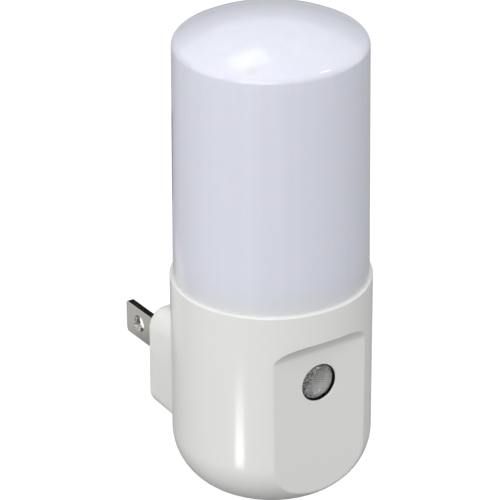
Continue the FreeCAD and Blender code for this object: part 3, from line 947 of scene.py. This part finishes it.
def make_floor():
    """Floor that looks white to the camera and lights the object as a plain grey one."""
    corners = [(-1, -1), (1, -1), (1, 1), (-1, 1)]
    obj = make_piece("floor", [(x * floor_half, y * floor_half, foot_z) for x, y in corners], [(0, 1, 2, 3)])
    graph = Graph("floor_white")
    graph.set(base_color=(floor_tone, floor_tone, floor_tone, 1), roughness=0.9)
    graph.set(specular_ior_level=0.0)
    lift = graph.add("ShaderNodeEmission")
    path = graph.nodes.new("ShaderNodeLightPath")
    seen = graph.math("MAXIMUM", path.outputs["Is Camera Ray"], path.outputs["Is Transmission Ray"])
    seen = graph.math("MULTIPLY", seen, floor_lift)
    gloss = graph.math("MULTIPLY", path.outputs["Is Glossy Ray"], floor_gloss_lift)
    graph.link(graph.math("MAXIMUM", seen, gloss), lift.inputs["Strength"])
    both = graph.nodes.new("ShaderNodeAddShader")
    graph.link(graph.shader.outputs[0], both.inputs[0])
    graph.link(lift.outputs[0], both.inputs[1])
    graph.link(both.outputs[0], graph.nodes["Material Output"].inputs["Surface"])
    obj.data.materials.append(graph.material)


def make_world():
    """Pale room that is dark low down behind the object; the camera sees it as white."""
    world = bpy.data.worlds.new("studio")
    bpy.context.scene.world = world
    world.use_nodes = True
    nodes, links = world.node_tree.nodes, world.node_tree.links
    way = nodes.new("ShaderNodeSeparateXYZ")
    links.new(nodes.new("ShaderNodeTexCoord").outputs["Generated"], way.inputs[0])
    shares = []
    for axis, start, end in (("Y", 0.0, dark_behind), ("Z", dark_top + dark_soft, dark_top - dark_soft)):
        share = nodes.new("ShaderNodeMapRange")
        share.inputs["From Min"].default_value = start
        share.inputs["From Max"].default_value = end
        links.new(way.outputs[axis], share.inputs["Value"])
        shares.append(share.outputs["Result"])
    dark = nodes.new("ShaderNodeMath")
    dark.operation = "MULTIPLY"
    links.new(shares[0], dark.inputs[0])
    links.new(shares[1], dark.inputs[1])
    level = nodes.new("ShaderNodeMapRange")
    level.inputs["To Min"].default_value = room_light
    level.inputs["To Max"].default_value = room_dark
    links.new(dark.outputs[0], level.inputs["Value"])
    room = nodes["Background"]
    room.inputs["Color"].default_value = (1, 1, 1, 1)
    links.new(level.outputs["Result"], room.inputs["Strength"])
    white = nodes.new("ShaderNodeBackground")
    white.inputs["Color"].default_value = (1, 1, 1, 1)
    path = nodes.new("ShaderNodeLightPath")
    mix = nodes.new("ShaderNodeMixShader")
    links.new(path.outputs["Is Camera Ray"], mix.inputs[0])
    links.new(room.outputs[0], mix.inputs[1])
    links.new(white.outputs[0], mix.inputs[2])
    links.new(mix.outputs[0], nodes["World Output"].inputs["Surface"])


def lamp(name, turn, rise, width, height, power):
    """A soft box that looks at the middle of the object, turn and rise in degrees."""
    data = bpy.data.lights.new(name, "AREA")
    data.shape = "RECTANGLE"
    data.size, data.size_y = width * MM, height * MM
    data.energy = power
    way = toward(math.radians(turn), math.radians(rise))
    target = Vector((0, axis_y, rim_z))
    obj = bpy.data.objects.new(name, data)
    obj.rotation_euler = way.to_track_quat("Z", "Y").to_euler()
    obj.location = (target + way * lamp_away) * MM
    bpy.context.collection.objects.link(obj)


def card(name, corners, strength):
    """Flat reflector or dark flag that only glossy surfaces show; gives its graph and its light."""
    obj = make_piece(name, corners, [(0, 1, 2, 3)])
    graph = Graph(name)
    light = graph.add("ShaderNodeEmission", Strength=strength)
    graph.link(light.outputs[0], graph.nodes["Material Output"].inputs["Surface"])
    obj.data.materials.append(graph.material)
    obj.visible_camera = False
    obj.visible_diffuse = False
    obj.visible_transmission = False
    obj.visible_shadow = False
    return graph, light


def strip_card():
    """Narrow light strip low beside the base, which draws the upright highlight on it."""
    foot = Vector((0, axis_y, foot_z + strip_up)) + toward(strip_wall_turn, 0) * body_r
    way = toward(strip_way_turn, 0)
    side = Vector((way.y, -way.x, 0))
    near, far = foot + way * strip_near, foot + way * strip_far
    corners = [
        near - side * strip_near_half,
        near + side * strip_near_half,
        far + side * strip_far_half,
        far - side * strip_far_half,
    ]
    graph, light = card("strip_card", corners, strip_strength)
    fade = graph.spot(foot, strip_far, 1 - strip_near / strip_far)
    graph.link(graph.range(fade, strip_far_strength, strip_strength, 0.0, 1.0), light.inputs["Strength"])


def card_in_view(name, spot, normal, away, half, strength):
    """Card placed where a flat face at a spot, with that normal, mirrors it to the camera."""
    back = toward(camera_turn, camera_rise)
    normal = Vector(normal)
    way = 2 * back.dot(normal) * normal - back
    middle = Vector(spot) + way * away
    side = way.cross(Vector((0, 0, 1))).normalized() * half
    up = side.cross(way).normalized() * half
    corners = [middle - side - up, middle + side - up, middle + side + up, middle - side + up]
    card(name, corners, strength)


def light_blade():
    """Pale card for the blade's side and a dark flag for its upper edge."""
    side_x = -blade_high.x
    spot = (side_x, blade_card_out, 0)
    card_in_view("blade_card", spot, (-1, 0, 0), blade_card_away, blade_card_half, blade_card_strength)
    spot = (side_x, blade_flag_out, blade_half)
    card_in_view("blade_flag", spot, (0, 0, 1), blade_flag_away, blade_flag_half, 0.0)


def light_studio():
    make_world()
    for values in lamps:
        lamp(*values)
    strip_card()
    light_blade()


# Putting it together
def seat(obj, slot, materials, *nodes):
    """Dresses a piece, ties it to the body and hides the CAD nodes that it replaces."""
    obj.data.materials.clear()
    for material in materials:
        obj.data.materials.append(material)
    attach(obj, "root")
    if nodes:
        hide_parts(*nodes)


def dress_nodes(made):
    """Gives each CAD node the material of the slot it came with."""
    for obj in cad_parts.values():
        for i, old in enumerate(obj.data.materials):
            obj.data.materials[i] = made[old.name.split(".")[0]]


def paint_cup(obj):
    """The cup's floor takes its second material."""
    front = (panel_face_y + lens_deep - cup_floor / 2) * MM
    for face in obj.data.polygons:
        face.material_index = 1 if face.normal.y < -0.5 and face.center.y > front else 0


bpy.context.scene.view_settings.view_transform = "Standard"
made = make_materials()
dress_nodes(made)
white, frost, steel = ([made[slot]] for slot in ("base_white", "diffuser_frost", "blade_metal"))
seat(base_shell(), "base_white", white, "base_housing")
seat(diffuser_cover(), "diffuser_frost", frost, "diffuser")
seat(plug_body(), "base_white", white, "plug_block")
seat(blade_piece(1), "blade_metal", steel, "blade_right")
seat(blade_piece(-1), "blade_metal", steel, "blade_left")
seat(sensor_lens(), "clear_resin", [made["clear_resin"]], "sensor_window")
# The ring is the black sleeve with painted shade: its near-black, dull material stands in for the shade in the
# gap round the lens.
seat(sensor_ring(), "black_plastic", [made["sensor_wall_painted_shade"]])
cup = sensor_face()
seat(cup, "cell_ceramic", [made["sensor_wall_painted_shade"], made["sensor_back"]])
paint_cup(cup)

make_camera()
make_floor()
light_studio()
